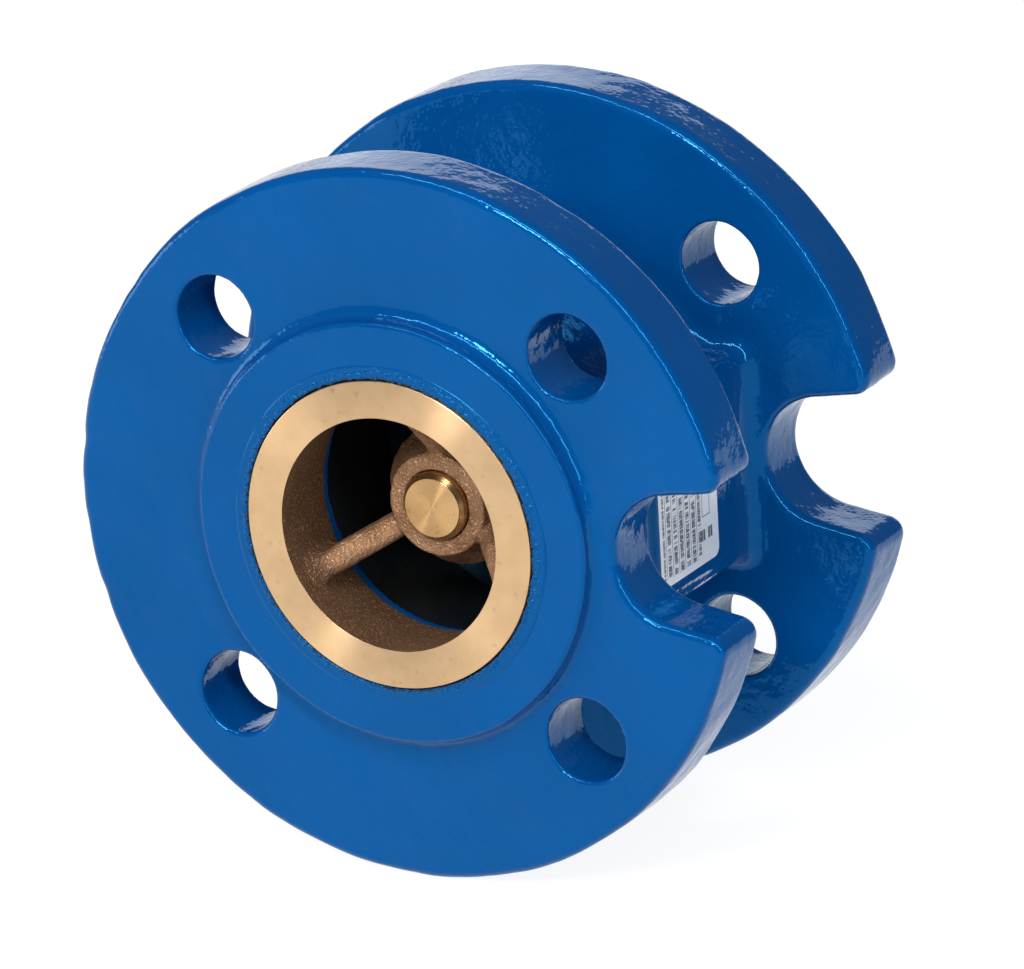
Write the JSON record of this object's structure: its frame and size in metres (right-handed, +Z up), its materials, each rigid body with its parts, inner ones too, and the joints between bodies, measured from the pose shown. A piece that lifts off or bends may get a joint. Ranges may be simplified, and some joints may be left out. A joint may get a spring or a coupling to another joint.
{
  "type": "flanged axial check valve",
  "caption": "Blue flanged axial check valve with a bronze outlet guide, a spring-closed disc and stem, a notch in each flange and a label boss.",
  "frame": {"origin": "centre of the outlet face, where the pipe axis meets the raised face of the outlet flange", "axes": "+Y along the pipe axis into the valve, towards the inlet, so water flows towards -Y; +X towards the notches, the boss and the label; +Z up"},
  "size_m": [0.1624, 0.1, 0.165],
  "materials": {
    "blue_epoxy_iron": "thick gloss blue epoxy over a ductile iron casting",
    "cast_bronze": "as-cast brown bronze, turned bright where it seats",
    "turned_bronze": "fine turned bronze",
    "turned_brass": "turned brass with circular tool marks",
    "stainless_steel": "drawn and turned stainless steel",
    "black_rubber": "matt black nitrile",
    "label_film": "silver grey printed film"
  },
  "bodies": {
    "valve": {"valve_body": "blue_epoxy_iron", "outlet_guide": "cast_bronze", "outlet_guide_o_ring": "black_rubber", "seat_ring": "cast_bronze", "seat_ring_o_ring": "black_rubber", "thrust_washer": "stainless_steel", "closing_spring": "stainless_steel", "rating_label": "label_film"},
    "disc_set": {"stem": "turned_brass", "disc": "turned_bronze", "stem_o_ring": "black_rubber", "disc_seal": "black_rubber", "seal_retainer": "turned_bronze", "lock_washer": "stainless_steel", "disc_nut": "stainless_steel"}
  },
  "joints": [
    {"name": "disc_lift", "type": "slide", "parent": "valve", "child": "disc_set", "axis": [0, -1, 0], "range_m": [0, 0.012], "stiffness_N_per_m": 400, "springref_m": -0.012, "deforming": ["closing_spring"]}
  ]
}
